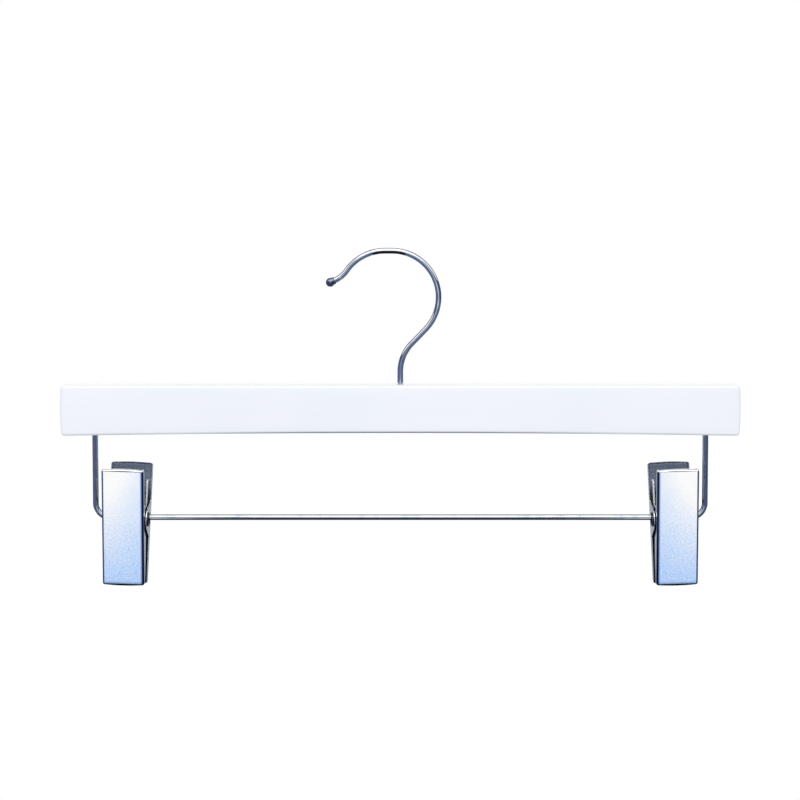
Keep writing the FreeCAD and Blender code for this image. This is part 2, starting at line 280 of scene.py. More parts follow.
def stage_object(bm, name, material):
    mesh = bpy.data.meshes.new(name)
    bm.to_mesh(mesh)
    bm.free()
    mesh.materials.append(material)
    made = bpy.data.objects.new(name, mesh)
    bpy.context.scene.collection.objects.link(made)
    return made


floor_z = cad_box[0].z - floor_drop
bm = bmesh.new()
bmesh.ops.create_grid(bm, x_segments=1, y_segments=1, size=floor_half,
                      matrix=Matrix.Translation((0, 0, floor_z)))
stage_object(bm, "floor", floor_finish)
print("floor at %.2f m" % floor_z)

# %% [markdown]
# ## The softbox
# One broad softbox above and in front makes the top of the bar and of the wires brighter than their
# undersides. A small lamp would do that too, but with hard shadows and a sharp spot in every wire.

# %% The softbox
softbox_place = Vector((0, -0.75, 0.85))
softbox_size = (1.3, 0.8)
softbox_watts = 3.5

softbox_data = bpy.data.lights.new("softbox", "AREA")
softbox_data.shape = "RECTANGLE"
softbox_data.size, softbox_data.size_y = softbox_size
softbox_data.energy = softbox_watts
softbox = bpy.data.objects.new("softbox", softbox_data)
softbox.location = softbox_place
softbox.rotation_euler = (aim_point - softbox_place).to_track_quat("-Z", "Y").to_euler()
bpy.context.scene.collection.objects.link(softbox)
print("softbox of %.1f W" % softbox_watts)

# %% [markdown]
# ## Dark cards for the chrome
# Chrome has no colour of its own: in a white room it is white, and its edges vanish into the paper. So
# a photographer stands dark cards round it. A card here glows in one colour, so that no lamp changes
# it, and only reflections see it: the camera, the light and the shadows pass through. From behind it is
# clear.

# %% A card
def hang_card(bm, name, colour):
    """Card that glows in one colour on its front, for reflections alone. From behind it isn't there."""
    material, sheet = new_finish(name)
    glow = sheet.node("ShaderNodeEmission", None, {"Color": colour, "Strength": 1.0})
    clear = sheet.node("ShaderNodeBsdfTransparent")
    from_behind = sheet.node("ShaderNodeNewGeometry", out="Backfacing")
    shown = sheet.node("ShaderNodeMixShader", None, {0: from_behind, 1: glow, 2: clear})
    sheet.node("ShaderNodeOutputMaterial", None, {"Surface": shown})
    card = stage_object(bm, name, material)
    card.visible_camera = False
    card.visible_diffuse = False
    card.visible_shadow = False
    card.visible_transmission = False


# %% [markdown]
# ## Three shapes of card
# A card is a patch of a large sphere round the hanger, a level rectangle or an upright one. The patch
# starts as one point, which is spun upwards and then round, and its faces are turned towards the
# hanger. A rectangle is a grid of one face that is scaled and moved.

# %% Shapes of cards
card_distance = 1.4
card_step = math.radians(10)


def round_card(name, azimuths, elevations, colour):
    """Patch of a sphere between two azimuths, from -Y towards +X, and two elevations, in degrees."""
    start_turn, end_turn = (math.radians(angle) for angle in azimuths)
    low, high = (math.radians(angle) for angle in elevations)
    bm = bmesh.new()
    first = bmesh.ops.create_vert(bm, co=(0, -card_distance * math.cos(low), card_distance * math.sin(low)))
    rise = high - low
    bmesh.ops.spin(bm, geom=first["vert"], cent=(0, 0, 0), axis=(-1, 0, 0), angle=rise,
                   steps=math.ceil(rise / card_step))
    bmesh.ops.rotate(bm, verts=bm.verts, cent=(0, 0, 0), matrix=Matrix.Rotation(start_turn, 3, "Z"))
    sweep = end_turn - start_turn
    bmesh.ops.spin(bm, geom=bm.verts[:] + bm.edges[:], cent=(0, 0, 0), axis=(0, 0, 1), angle=sweep,
                   steps=math.ceil(sweep / card_step))
    bmesh.ops.translate(bm, verts=bm.verts, vec=aim_point)
    for face in bm.faces:
        face.normal_update()
        if face.normal.dot(face.calc_center_median() - aim_point) > 0:
            face.normal_flip()
    hang_card(bm, name, colour)


def flat_card(name, across, along, height, colour):
    """Level rectangle, facing up, between two places in X and two in Y."""
    bm = bmesh.new()
    bmesh.ops.create_grid(bm, x_segments=1, y_segments=1, size=0.5)
    bmesh.ops.scale(bm, verts=bm.verts, vec=(across[1] - across[0], along[1] - along[0], 1))
    bmesh.ops.translate(bm, verts=bm.verts, vec=(sum(across) / 2, sum(along) / 2, height))
    hang_card(bm, name, colour)


def side_card(name, across, along, heights, colour):
    """Upright rectangle at one place in X, facing outwards, between two places in Y and two heights."""
    bm = bmesh.new()
    bmesh.ops.create_grid(bm, x_segments=1, y_segments=1, size=0.5)
    facing = Matrix.Rotation(math.copysign(math.pi / 2, across), 3, "Y")
    bmesh.ops.rotate(bm, verts=bm.verts, cent=(0, 0, 0), matrix=facing)
    bmesh.ops.scale(bm, verts=bm.verts, vec=(1, along[1] - along[0], heights[1] - heights[0]))
    bmesh.ops.translate(bm, verts=bm.verts, vec=(across, sum(along) / 2, sum(heights) / 2))
    hang_card(bm, name, colour)


print("round cards hang %.1f m away" % card_distance)

# %% [markdown]
# ## Hanging the cards
# Slate blue stands at both sides, with a paler strip in front that draws a light line down the upright
# wires, and high brown cards behind that draw a thin dark edge along the tops of the level ones. A
# wire's underside mirrors what lies below it, so a nearly black cloth is spread there as on a table. It
# is narrow in front, because the plates of the clips face a little downwards and have to mirror white
# paper beside it. Two paler cards stand back to back between the frame's legs and draw a lighter line
# down the inner side of each. The hook stands over the white bar, so two cloths cover that, and a black
# flag hangs below the hook's crown.

# %% Dark cards
slate_left = tint(92, 105, 127)
slate_right = tint(78, 90, 110)
slate = tint(84, 96, 118)
inner_slate = tint(136, 152, 178)
pale_slate = tint(212, 216, 224)
rear_grey = tint(168, 173, 183)
rear_brown = tint(90, 84, 80)
night = tint(56, 57, 72)
cloth_blue = tint(100, 114, 142)
black = tint(34, 35, 40)
table_z = -420 * MM
flag_drop = 9 * MM
cloth_lift = 1 * MM
flag_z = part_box("hook")[1].z - flag_drop
cloth_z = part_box("bar")[1].z + cloth_lift
inner_x = 10 * MM
round_card("right_card", (26, 152), (-14, 20), slate_right)
round_card("left_card", (-152, -26), (-14, 20), slate_left)
round_card("right_low_card", (24, 152), (-48, -14), slate_right)
round_card("left_low_card", (-152, -24), (-48, -14), slate_left)
round_card("front_strip", (-26, 26), (-6.5, 4), pale_slate)
round_card("front_low_strip", (-26, 26), (-14, -6.5), slate)
round_card("front_right_card", (9, 26), (4, 24), slate)
round_card("front_left_card", (-26, -9), (4, 24), slate)
round_card("rear_card", (152, 208), (-20, -3), rear_grey)
round_card("rear_high_card", (152, 208), (28, 72), rear_brown)
round_card("rear_right_high_card", (95, 152), (20, 72), rear_brown)
round_card("rear_left_high_card", (208, 265), (20, 72), rear_brown)
flat_card("table_cloth", (-0.5, 0.5), (-0.33, 0.33), table_z, night)
flat_card("table_runner", (-0.19, 0.19), (-1.57, -0.33), table_z, night)
flat_card("crown_flag", (-0.013, 0.001), (-0.35, 0.35), flag_z, black)
flat_card("bar_cloth_right", (0.004, 0.3), (-0.3, 0.3), cloth_z, cloth_blue)
flat_card("bar_cloth_left", (-0.3, -0.004), (-0.3, 0.3), cloth_z, cloth_blue)
side_card("inner_card_right", inner_x, (-0.06, 0.35), (-0.2, -0.1), inner_slate)
side_card("inner_card_left", -inner_x, (-0.06, 0.35), (-0.2, -0.1), inner_slate)

# %% [markdown]
# ## White lacquer on wood
# The bar is a planed board, sprayed white. Lacquer fills the grain but never quite hides it: long
# shallow lines run along the board, and the spray leaves a fine orange peel. Both are noise in the
# bump, stretched along the board for the grain: unlike a picture of wood, that has no seam. The grain
# also shifts the white very slightly, and a clear coat gives the soft gloss. The lower edge turns
# blue-grey towards the middle, as in the photograph, and that is painted shade: a tint which depends
# on the way that the surface faces and on the place along the board.

# %% Bar lacquer
lacquer_white = tint(246, 247, 250)
lacquer_shade = tint(240, 242, 247)
# painted shade: the blue-grey of the lower edge towards the middle
lacquer_painted_shade = tint(96, 108, 130)
grain_stretch = (14, 420, 420)
facing_down = (-0.9, -0.2)
arch_fade = 0.02


def make_lacquer():
    material, sheet = new_finish("bar_lacquer")
    place = sheet.place()
    grain = sheet.noise(sheet.stretch(place, grain_stretch), 1.0, 5.0, 0.6)
    cloud = sheet.noise(place, 9.0, 2.0)
    peel = sheet.noise(place, 900.0, 2.0)
    share = 0.3 * grain.ramp(0.3, 0.75) + 0.7 * cloud.ramp(0.3, 0.7)
    height = 0.15 * grain + 0.5 * peel
    facing = sheet.node("ShaderNodeTexCoord", out="Normal")
    # Painted shade: faces turned downwards take the blue-grey, most of all near the middle of the arch.
    under = 1 - sheet.axis(facing, "Z").ramp(*facing_down)
    along = sheet.axis(place, "X")
    middle = 1 - (along * along).ramp(0.0, arch_fade)
    top_coat = sheet.mix(share, lacquer_white, lacquer_shade)
    surface(sheet, {
        "Base Color": sheet.mix(under * (0.15 + 0.85 * middle * middle), top_coat, lacquer_painted_shade),
        "Roughness": 0.30 + 0.10 * cloud,
        "Coat Weight": 0.4,
        "Coat Roughness": 0.12,
        "Normal": sheet.bump(height, 0.03, 0.04 * MM),
    })
    return material


bar_lacquer = make_lacquer()
print("made", bar_lacquer.name)

# %% [markdown]
# ## Chrome wire
# The hook and the frame are bent from drawn wire and chromed bright. The drawing die leaves hair-fine
# lines along the wire, and hands leave faint smears that dull it a little. The lines have to follow the
# bends, so each wire carries an attribute named lay: the direction round the wire, and the distance
# along it.

# %% Chrome
chrome_tints = (tint(226, 230, 238), tint(196, 203, 216))
drawn_lines = (12, 12, 0.05)


def make_bright_wire(name, pale, dull, gloss, metal):
    material, sheet = new_finish(name)
    lay = sheet.node("ShaderNodeAttribute", {"attribute_name": "lay"}, None, "Vector")
    lines = sheet.noise(sheet.stretch(lay, drawn_lines), 1.0, 3.0, 0.6)
    smears = sheet.noise(sheet.place(), 160.0, 3.0)
    surface(sheet, {
        "Base Color": sheet.mix(smears.ramp(0.42, 0.72), pale, dull),
        "Metallic": metal,
        "Roughness": gloss + 0.10 * smears.ramp(0.4, 0.8),
        "Normal": sheet.bump(lines, 0.01, 0.01 * MM),
    })
    return material


wire_chrome = make_bright_wire("wire_chrome", *chrome_tints, gloss=0.06, metal=1.0)
print("made", wire_chrome.name)

# %% [markdown]
# ## Blue-bright plated steel
# The clips are pressed from sheet. They look zinc plated with a clear blue passivation, with a mottle
# and a few scratches low down. Light and shade are painted over that: a painted reflection fades each
# plate from nearly white at the handles to light blue towards the biting end and the inner edge,
# painted reflections lay blue along the edges and dark in the bends, and painted shade darkens the
# hollow of the tray. One even colour would show none of that, so the tints are laid on by place. Each
# jaw therefore carries two attributes: tray is a point's place across, into and along its own tray in
# millimetres, and inside is 1 on the hollow side of the sheet.

# %% Clip plate
# plate_white and plate_blue are the ends of a painted reflection fade; the blue is also the passivation's
# own tint
plate_white = tint(255, 255, 255)
plate_blue = tint(173, 208, 255)
# blue of the real specks and scratches, and of the painted reflection along both edges
speck_and_edge_reflection_blue = tint(112, 148, 220)
# painted dark reflection in the bends along the inner edge and at the low end
painted_fold_reflection = tint(70, 88, 130)
plate_side = tint(238, 239, 242)
# painted shade in the hollow of the tray: lighter near the handle's end, deep lower down
painted_hollow_shade_light = tint(176, 184, 198)
painted_hollow_shade_deep = tint(108, 112, 120)
plate_top = 19.5
plate_fade = 51.5
plate_edge = 10.8
inner_edge_reflection = (8.7, 9.7)
outer_edge_reflection = (10.0, 10.6)
inner_fold = (9.2, 10.2)
low_fold = (-33.8, -31.0)
flange_start = (0.5, 1.1)
top_lip = (28.6, 29.4)
painted_shade_from = (13.0, 19.0)
scratch_stretch = (0.22, 1.0, 4.0)


def make_clip_plate():
    material, sheet = new_finish("clip_plate")
    tray = sheet.node("ShaderNodeAttribute", {"attribute_name": "tray"}, None, "Vector")
    inside = sheet.node("ShaderNodeAttribute", {"attribute_name": "inside"}, None, "Fac")
    across, depth, height = (sheet.axis(tray, name) for name in "XYZ")
    cloud = sheet.noise(tray, 0.12, 3.0)
    mottle = sheet.noise(tray, 0.9, 5.0, 0.7)
    speck = sheet.noise(tray, 1.9, 3.0, 0.6)
    scratch = sheet.noise(sheet.stretch(tray, scratch_stretch), 1.0, 2.0)
    inner = 0 - across
    drop = (plate_top - height) * (1 / plate_fade)
    lower = drop.ramp(0.0, 1.0)
    # Painted reflection: white at the handles, fading to blue lower down and towards the inner edge.
    painted_reflection_fade = drop + (1 - drop) * (0.5 * inner.ramp(-plate_edge, plate_edge) - 0.12)
    patches = 0.2 * (cloud - 0.5) + 1.9 * (mottle - 0.5) * (0.4 + 0.6 * lower) * drop.ramp(-0.1, 0.3)
    body = sheet.mix(0.9 * painted_reflection_fade + patches, plate_white, plate_blue)
    specks = speck.ramp(0.56, 0.70) * (0.3 + 0.6 * lower) * drop.ramp(-0.1, 0.2)
    scratches = 0.5 * scratch.ramp(0.70, 0.78) * drop.ramp(0.6, 1.0)
    # Painted reflection: blue bands along the inner and outer edges.
    painted_edge_reflection = 0.8 * inner.ramp(*inner_edge_reflection) + 0.7 * across.ramp(*outer_edge_reflection)
    face = sheet.mix(specks + scratches + painted_edge_reflection, body, speck_and_edge_reflection_blue)
    # Painted reflection: the bends along the inner edge and at the biting end are darkened.
    painted_fold_mask = inner.ramp(*inner_fold) + (1 - height.ramp(*low_fold))
    with_painted_folds = sheet.mix(painted_fold_mask, face, painted_fold_reflection)
    sides = depth.ramp(*flange_start) + height.ramp(*top_lip)
    outer = sheet.mix(sides, with_painted_folds, plate_side)
    # Painted shade: the hollow side of the sheet is darkened, most of all below the handle.
    hollow = sheet.mix(height.ramp(*painted_shade_from), painted_hollow_shade_deep, painted_hollow_shade_light)
    surface(sheet, {
        "Base Color": sheet.mix(inside.ramp(0.6, 0.95), outer, hollow),
        "Metallic": 1.0,
        "Roughness": 0.09 + 0.06 * mottle + 0.10 * inside,
        "Normal": sheet.bump(mottle + 0.4 * speck, 0.06, 0.02 * MM),
    })
    return material


clip_plate = make_clip_plate()
print("made", clip_plate.name)

# %% [markdown]
# ## Small metal and rubber
# The eyelets are drawn tube and the washer is stamped, both dull plated. The eyelets are darkened with
# painted shade, so that they read as the shadowed holes that the rod runs through. The grips are moulded
# black rubber, matt, with a fine grain from the mould and a little dust. None of these patterns has a
# direction, so plain noise on Object coordinates is enough.

# %% Small metal and rubber
# painted shade: the eyelets are darkened to read as shadowed holes
eyelet_painted_shade_tints = (tint(92, 95, 104), tint(62, 65, 74))
washer_tints = (tint(190, 194, 200), tint(150, 154, 162))
rubber_tints = (tint(34, 34, 38), tint(62, 63, 68))


def make_dull_metal(name, pale, dull):
    material, sheet = new_finish(name)
    place = sheet.place()
    cloud = sheet.noise(place, 500.0, 4.0, 0.6)
    speck = sheet.noise(place, 2600.0, 2.0)
    surface(sheet, {
        "Base Color": sheet.mix(cloud.ramp(0.35, 0.7), pale, dull),
        "Metallic": 1.0,
        "Roughness": 0.26 + 0.16 * cloud,
        "Normal": sheet.bump(speck, 0.10, 0.02 * MM),
    })
    return material


def make_rubber():
    material, sheet = new_finish("grip_rubber")
    place = sheet.place()
    dust = sheet.noise(place, 300.0, 3.0)
    grain = sheet.noise(place, 4200.0, 2.0)
    surface(sheet, {
        "Base Color": sheet.mix(dust.ramp(0.45, 0.8), *rubber_tints),
        "Roughness": 0.62 + 0.2 * dust,
        "Normal": sheet.bump(grain, 0.35, 0.03 * MM),
    })
    return material


eyelet_metal = make_dull_metal("eyelet_metal", *eyelet_painted_shade_tints)
washer_zinc = make_dull_metal("washer_zinc", *washer_tints)
grip_rubber = make_rubber()
print("made", eyelet_metal.name, washer_zinc.name, grip_rubber.name)

# %% [markdown]
# ## Solids that keep their own mesh
# The eyelets and the washer already have their true shape, so they only take a finish.

# %% Finishes on the solids
kept_finishes = {"hook_washer": washer_zinc}
for side in SIDES:
    kept_finishes[side + "_eyelet"] = eyelet_metal
for name, finish in kept_finishes.items():
    nodes[name].data.materials.clear()
    nodes[name].data.materials.append(finish)
print("finished", len(kept_finishes), "solids")

# %% [markdown]
# ## Bending wire
# A wire bender feeds wire straight, turns it round a former, or squeezes a collar on it. The same three
# moves make every wire here: a ring of points is pushed on, spun about a bend's centre, or pushed on
# and scaled. Each ring notes its direction and distance in the lay attribute, for the drawn lines of
# the chrome. A curve with a round bevel would have the same shape, but no such notes.

# %% The wire bender
wire_sides = 32
wire_bend_step = math.radians(4)


class WireBender:
    """A round wire that grows from one end."""

    def __init__(self, radius, start, heading, side, sides=wire_sides, bend_step=wire_bend_step):
        self.bend_step = bend_step
        self.bm = bmesh.new()
        self.lay = self.bm.verts.layers.float_vector.new("lay")
        self.place = Vector(start)
        self.heading = Vector(heading).normalized()
        self.side = Vector(side).normalized()
        self.radius = radius
        self.run = 0.0
        across = self.heading.cross(self.side)
        turn = Matrix((self.side, across, self.heading)).transposed().to_4x4()
        made = bmesh.ops.create_circle(self.bm, cap_ends=True, radius=radius, segments=sides,
                                       matrix=Matrix.Translation(self.place) @ turn)
        self.ring = made["verts"]
        self.note_lay()

    def note_lay(self):
        across = self.heading.cross(self.side)
        for vert in self.ring:
            out = (vert.co - self.place) / self.radius
            vert[self.lay] = (out.dot(self.side), out.dot(across), self.run / MM)

    def grow(self, centre, axis, angle, shift):
        """One step: a copy of the ring, joined to it, turned about an axis and shifted."""
        grown = bmesh.ops.spin(self.bm, geom=self.ring + self.ring_edges(), cent=centre, axis=axis,
                               dvec=shift, angle=angle, steps=1)
        self.ring = [item for item in grown["geom_last"] if isinstance(item, bmesh.types.BMVert)]

    def ring_edges(self):
        ends = set(self.ring)
        return list({edge for vert in self.ring for edge in vert.link_edges if ends.issuperset(edge.verts)})

    def feed(self, length, pieces=1):
        for _ in range(pieces):
            self.place = self.place + self.heading * (length / pieces)
            self.run += length / pieces
            self.grow(self.place, self.side, 0.0, self.heading * (length / pieces))
            self.note_lay()
        return self

    def bend(self, radius, angle, towards, drift=0.0):
        """Turn by an angle round a former on the given side. A drift along its axis winds a coil."""
        towards = Vector(towards).normalized()
        axis = self.heading.cross(towards)
        centre = self.place + towards * radius
        steps = max(1, math.ceil(angle / self.bend_step))
        turn = Matrix.Rotation(angle / steps, 3, axis)
        shift = axis * (drift / steps)
        for _ in range(steps):
            self.grow(centre, axis, angle / steps, shift)
            self.place = centre + turn @ (self.place - centre) + shift
            self.heading = turn @ self.heading
            self.side = turn @ self.side
            centre = centre + shift
            self.run += radius * angle / steps
            self.note_lay()
        return self

    def squeeze(self, radius, length):
        """Push the ring on and scale it to a new radius."""
        self.feed(length)
        for vert in self.ring:
            vert.co = self.place + (vert.co - self.place) * (radius / self.radius)
        self.radius = radius
        return self

    def cut(self):
        """Close the end, and hand over the mesh."""
        bmesh.ops.holes_fill(self.bm, edges=self.ring_edges(), sides=0)
        return self.bm


print("wire steps of %.0f degrees, %d sides" % (math.degrees(wire_bend_step), wire_sides))

# %% [markdown]
# ## From a mesh to a piece
# Every finished mesh becomes a piece in the same way. Its normals are recalculated, because a spin can
# leave a shape inside out. All its faces are smooth, and only edges that turn by more than a limit stay
# sharp.

# %% A new piece
smooth_limit = math.radians(38)


def new_piece(bm, name, finish):
    """Object of a finished bmesh, smooth but for its sharp edges."""
    bmesh.ops.recalc_face_normals(bm, faces=bm.faces)
    for face in bm.faces:
        face.smooth = True
    for edge in bm.edges:
        edge.smooth = edge.calc_face_angle(0.0) < smooth_limit
    mesh = bpy.data.meshes.new(name)
    bm.to_mesh(mesh)
    bm.free()
    mesh.materials.append(finish)
    piece = bpy.data.objects.new(name, mesh)
    bpy.context.scene.collection.objects.link(piece)
    print("%-22s %6d faces" % (name, len(mesh.polygons)))
    return piece


print("edges stay sharp from %.0f degrees" % math.degrees(smooth_limit))

# %% [markdown]
# ## The hook
# One length of 3 mm wire. Its foot is riveted over below a washer, so that the hook can turn in the
# bar. Above the bar it leans out, goes round the back in one large bend, runs flat for a moment over
# the crown, comes down to the mouth and turns up at the tip. The heights come from the frame, the bends
# are those of the hook.

# %% Sizes of the hook
wire_r = 1.5 * MM
hook_bend_r = 24.2 * MM
hook_flat = 4.0 * MM
hook_flat_offset = 4.2 * MM
hook_back_sweep = math.radians(134.1)
hook_mouth_sweep = math.radians(55.1)
hook_foot_r = 21.0 * MM
hook_tip_r = 14.7 * MM
hook_tip_turn = math.radians(31)
hook_tip_straight = 2.7 * MM

hook_low, hook_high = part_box("hook")
lean_turn = hook_back_sweep - math.pi / 2
lean_len = (hook_bend_r * math.cos(lean_turn) - hook_flat_offset
            - hook_foot_r * (1 - math.cos(lean_turn))) / math.sin(lean_turn)
rise_over_shank = (hook_foot_r + hook_bend_r) * math.sin(lean_turn) + lean_len * math.cos(lean_turn)
shank_top = hook_high.z - wire_r - hook_bend_r - rise_over_shank
print("the shank is straight up to %.1f mm" % (shank_top / MM))

# %% [markdown]
# ## Bending the hook
# The wire is fed from its foot upwards. The rim of the riveted head is squeezed in a few steps along a
# quarter circle, and then the bends follow one another, each to the left or the right of the wire as
# seen from the front. Where the tip ends is kept for the ball.

# %% The hook
foot_head_r = 2.7 * MM
foot_head_h = 1.2 * MM
foot_head_round = 0.6 * MM
foot_round_steps = 4
shank_pieces = 4
short_pieces = 2
UP = Vector((0, 0, 1))
RIGHT = Vector((1, 0, 0))
BACK = Vector((0, 1, 0))


def left_of(bender):
    """Direction square to the wire's heading, on its left as seen from the front."""
    return bender.heading.cross(BACK)


hook = WireBender(foot_head_r - foot_head_round, (0, 0, hook_low.z), UP, RIGHT)
for step in range(1, foot_round_steps + 1):
    angle = math.pi / 2 * step / foot_round_steps
    last = math.pi / 2 * (step - 1) / foot_round_steps
    rise = foot_head_round * (math.cos(last) - math.cos(angle))
    hook.squeeze(foot_head_r - foot_head_round * (1 - math.sin(angle)), rise)
hook.feed(foot_head_h - foot_head_round)
hook.squeeze(wire_r, 0.0)
hook.feed(shank_top - hook.place.z, shank_pieces)
hook.bend(hook_foot_r, lean_turn, left_of(hook) * -1)
hook.feed(lean_len, short_pieces)
hook.bend(hook_bend_r, hook_back_sweep, left_of(hook))
hook.feed(hook_flat, short_pieces)
hook.bend(hook_bend_r, hook_mouth_sweep, left_of(hook))
hook.bend(hook_tip_r, hook_tip_turn, left_of(hook) * -1)
hook.feed(hook_tip_straight, short_pieces)
tip_place, tip_heading = hook.place.copy(), hook.heading.copy()
hook_piece = new_piece(hook.cut(), "hook_wire", wire_chrome)
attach(hook_piece, "hook")
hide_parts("hook")

# %% [markdown]
# ## The ball on the tip
# The bare end of a wire would catch on cloth, so a small ball with a short collar is pressed on it. It
# is a turned part, so half of its outline is spun once round the wire's direction. In the photograph it
# looks darker than the wire, so its chrome is tinted darker.

# %% The ball
ball_r = 2.35 * MM
collar_r = 1.95 * MM
collar_len = 2.6 * MM
collar_edge = 0.25 * MM
ball_arc_steps = 20
ball_spin_steps = 48
merge_gap = 0.001 * MM
ball_tints = (tint(132, 140, 158), tint(104, 112, 130))
ball_chrome = make_bright_wire("ball_chrome", *ball_tints, gloss=0.06, metal=1.0)

ball = bmesh.new()
tip_side = tip_heading.cross(BACK)
arc_end = math.pi - math.asin(collar_r / ball_r)
arc_angles = [arc_end * step / ball_arc_steps for step in range(ball_arc_steps + 1)]
outline = [(ball_r * math.sin(angle), ball_r * math.cos(angle)) for angle in arc_angles]
outline += [(collar_r, collar_edge - collar_len), (collar_r - collar_edge, -collar_len), (0.0, -collar_len)]
verts = [ball.verts.new(tip_place + tip_side * out + tip_heading * along) for out, along in outline]
edges = [ball.edges.new(pair) for pair in zip(verts, verts[1:])]
bmesh.ops.spin(ball, geom=verts + edges, cent=tip_place, axis=tip_heading, angle=2 * math.pi,
               steps=ball_spin_steps, use_merge=True)
bmesh.ops.remove_doubles(ball, verts=ball.verts, dist=merge_gap)
ball_piece = new_piece(ball, "hook_tip_ball", ball_chrome)
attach(ball_piece, "hook")
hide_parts("hook_ball")

# %% [markdown]
# ## The wire frame
# The second wire hangs below the bar. Its two legs are glued into the bar's underside, and two tight
# bends join them to the level rod that carries the clips.

# %% The wire frame
frame_bend_r = 7.6 * MM
leg_pieces = 4
rod_pieces = 24
low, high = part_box("wire_frame")
rod_z = low.z + wire_r
leg_x = (nodes["wire_frame"].dimensions.x - 2 * wire_r) / 2
leg_len = high.z - rod_z - frame_bend_r

wire = WireBender(wire_r, (-leg_x, 0, high.z), -UP, RIGHT)
wire.feed(leg_len, leg_pieces)
wire.bend(frame_bend_r, math.pi / 2, RIGHT)
wire.feed(2 * (leg_x - frame_bend_r), rod_pieces)
wire.bend(frame_bend_r, math.pi / 2, UP)
wire.feed(leg_len, leg_pieces)
frame_piece = new_piece(wire.cut(), "frame_wire", wire_chrome)
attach(frame_piece, "bar")
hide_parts("wire_frame")

# %% [markdown]
# ## Planing the bar
# The bar is one board with a slightly arched underside and bulged ends, and its corners and edges are
# rounded over. A box would have no row of points to bend into the arch, so a flat grid is bent to the
# outline, drawn out to the thickness, and bevelled twice: first the four corners, then the rims of both
# faces.

# %% The planed board
bar_low, bar_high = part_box("bar")
bar_half = (bar_high.x - bar_low.x) / 2
bar_thick = bar_high.y - bar_low.y
bar_h = 26.6 * MM
bar_arch = 1.5 * MM
bar_end_bulge = 0.5 * MM
bar_corner_round = 1.8 * MM
bar_edge_round = 1.7 * MM
board_columns = 48
board_rows = 6
round_segments = 6
sharp_limit = math.radians(60)


def sharp_edges(bm):
    return [edge for edge in bm.edges if edge.calc_face_angle(0.0) > sharp_limit]


def round_over(bm, edges, radius):
    bmesh.ops.bevel(bm, geom=edges, offset=radius, segments=round_segments, profile=0.5, affect="EDGES",
                    material=-1, clamp_overlap=False)


def plane_board():
    """Board without its holes, in its place."""
    bm = bmesh.new()
    bmesh.ops.create_grid(bm, x_segments=board_columns, y_segments=board_rows, size=1.0,
                          matrix=Matrix.Rotation(math.pi / 2, 4, "X"))
    for vert in bm.verts:
        along, up = vert.co.x, vert.co.z
        reach = bar_half - bar_end_bulge * up ** 2
        arch = bar_arch * (1 - along ** 2)
        vert.co = (along * reach, -bar_thick / 2, bar_high.z - (bar_h - arch) * (1 - up) / 2)
    drawn = bmesh.ops.extrude_face_region(bm, geom=bm.faces[:])
    back = [item for item in drawn["geom"] if isinstance(item, bmesh.types.BMVert)]
    bmesh.ops.translate(bm, verts=back, vec=BACK * bar_thick)
    bmesh.ops.recalc_face_normals(bm, faces=bm.faces)
    corners = [edge for edge in sharp_edges(bm)
               if abs(edge.verts[0].co.y - edge.verts[1].co.y) > bar_thick / 2]
    round_over(bm, corners, bar_corner_round)
    round_over(bm, sharp_edges(bm), bar_edge_round)
    return bm


board = plane_board()
print("planed board", len(board.faces), "faces")

# %% [markdown]
# ## Drilling the bar
# From below, the board gets a hole with a counterbore for the hook's riveted foot, and a socket for
# each leg of the frame. A bit is a short thick wire, so the wire bender makes it, and a Boolean
# modifier takes it out of the board. The board and its bits are only there until the drilled mesh has
# been read back.

# %% The drilled bar
counterbore_r = 4.5 * MM
counterbore_depth = 5.0 * MM
leg_insert = 16.0 * MM
swivel_gap = 0.05 * MM
glue_gap = 0.02 * MM
drill_overrun = 3.0 * MM


def drilled(bm, bits):
    """Board with the shape of each bit taken out of it."""
    tools = []
    for count, tool_bm in enumerate([bm] + bits):
        bmesh.ops.recalc_face_normals(tool_bm, faces=tool_bm.faces)
        mesh = bpy.data.meshes.new("drilling_%d" % count)
        tool_bm.to_mesh(mesh)
        tool_bm.free()
        tools.append(bpy.data.objects.new(mesh.name, mesh))
        bpy.context.scene.collection.objects.link(tools[-1])
    for bit in tools[1:]:
        hole = tools[0].modifiers.new(bit.name, "BOOLEAN")
        hole.object = bit
    result = bmesh.new()
    result.from_object(tools[0], bpy.context.evaluated_depsgraph_get())
    for tool in tools:
        bpy.data.meshes.remove(tool.data)
    return result


board_low = bar_high.z - bar_h
hook_bit = WireBender(counterbore_r, (0, 0, board_low - drill_overrun), UP, RIGHT)
hook_bit.feed(drill_overrun + bar_arch + counterbore_depth).squeeze(wire_r + swivel_gap, 0.0).feed(bar_h)
bits = [hook_bit.cut()]
for leg in (-leg_x, leg_x):
    leg_bit = WireBender(wire_r + glue_gap, (leg, 0, board_low - drill_overrun), UP, RIGHT)
    bits.append(leg_bit.feed(drill_overrun + leg_insert).cut())
bar_piece = new_piece(drilled(board, bits), "bar_board", bar_lacquer)
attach(bar_piece, "bar")
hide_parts("bar")

# %% [markdown]
# ## Winding a spring
# Each clip is closed by a torsion spring that is wound round its eyelet, with one leg up each handle
# and the ends bent out against the plates. It looks brighter and duller than the other wires, as zinc
# does, so it mirrors less. The bender winds it in one go. The pitch of the coil grows over the first
# quarter turn and fades over the last, so that both legs leave the coil without a kink.

# %% The spring's wire
spring_wire_r = 0.5 * MM
spring_coil_r = 4.0 * MM
spring_reach = 9.25 * MM
spring_turns = 8
spring_leg = 20.5 * MM
spring_end_bend = 1.6 * MM
spring_tip_out = 8.2 * MM
spring_sides = 18
spring_bend_step = math.radians(9)
spring_ease = math.pi / 2
spring_ease_steps = 9
spring_tints = (tint(250, 250, 252), tint(236, 238, 242))
jaw_lean = math.radians(9.4)
spring_zinc = make_bright_wire("spring_zinc", *spring_tints, gloss=0.30, metal=0.3)


